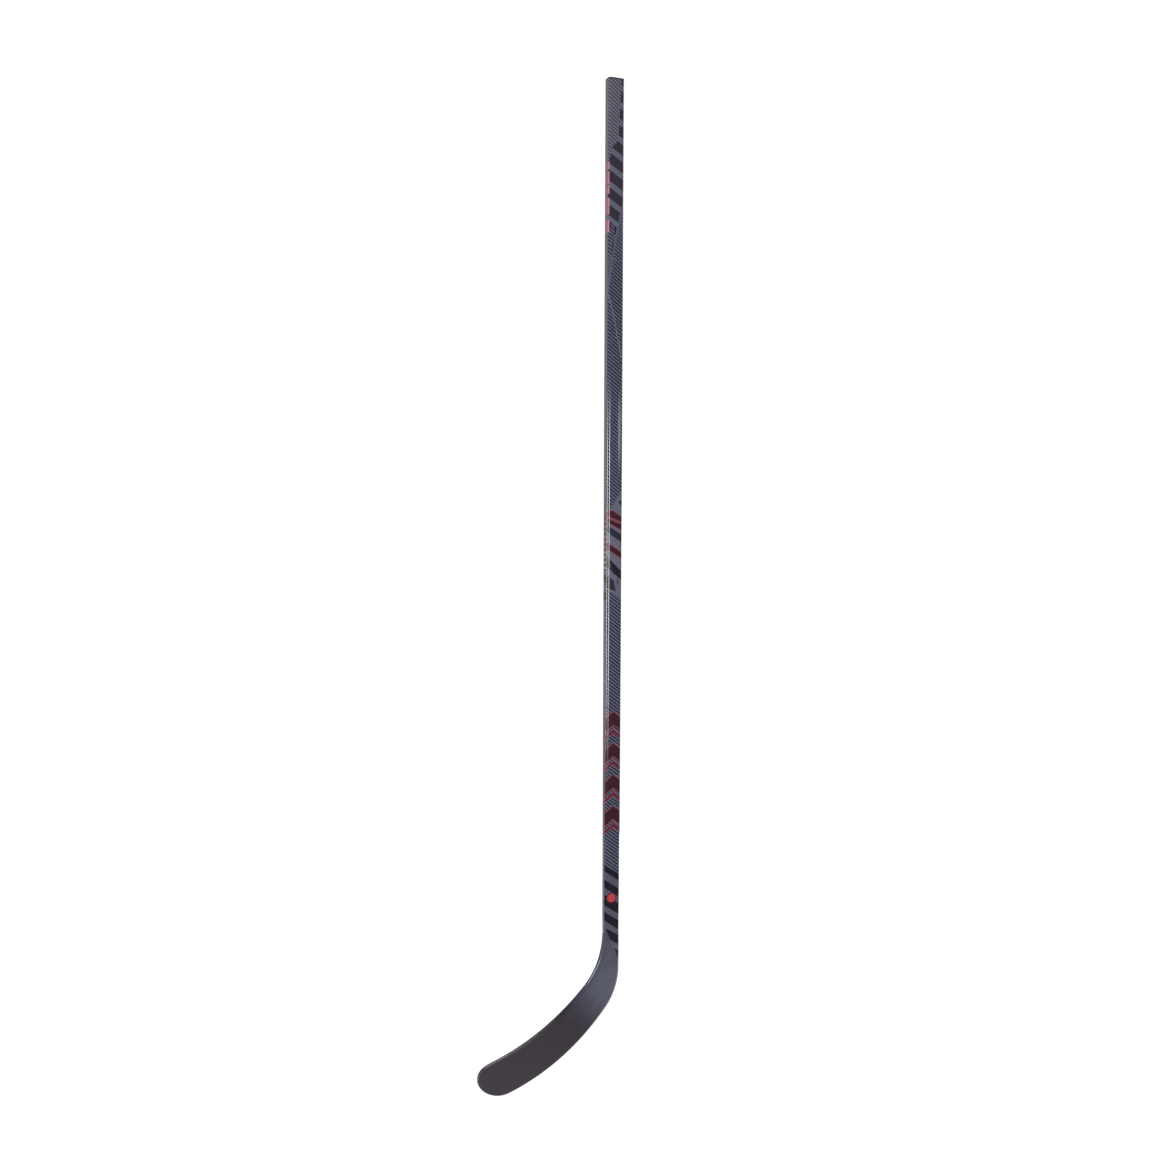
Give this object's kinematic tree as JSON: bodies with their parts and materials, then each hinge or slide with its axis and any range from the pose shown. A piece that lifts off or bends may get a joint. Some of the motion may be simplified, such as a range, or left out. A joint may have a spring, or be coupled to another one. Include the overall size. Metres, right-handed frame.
{
  "type": "ice hockey stick",
  "caption": "One-piece composite ice hockey stick: hollow rectangular shaft fused to a curved, foam-cored blade, left hand.",
  "frame": {"origin": "centre of the butt end's flat face", "axes": "+Z along the shaft, out of the butt end; wide faces of the shaft look to +Y and -Y; the toe points to -X and the blade curves to +Y"},
  "size_m": [0.2476, 0.0685, 1.7807],
  "materials": {
    "shaft_paint": "painted carbon and glass composite, satin clear coat, fine slanted pinstripes",
    "plug_plastic": "moulded black plastic",
    "neck_finish": "tinted clear coat over carbon overwrap",
    "inner_laminate": "bare carbon laminate",
    "core_foam": "closed-cell foam",
    "heel_filler": "cured filler",
    "blade_finish": "clear coat over carbon weave",
    "blade_edge": "clear coat over carbon laminate"
  },
  "bodies": {
    "root": {"shaft_tube": "shaft_paint", "butt_end_plug": "plug_plastic", "fuse_wrap": "neck_finish", "hosel_tenon": "inner_laminate", "tenon_core": "core_foam", "heel_core": "heel_filler", "blade_core_upper": "core_foam", "blade_core_lower": "core_foam", "blade_rib": "inner_laminate", "blade_face_backhand": "blade_finish", "blade_face_forehand": "blade_finish", "blade_edge_band": "blade_edge"}
  },
  "joints": []
}
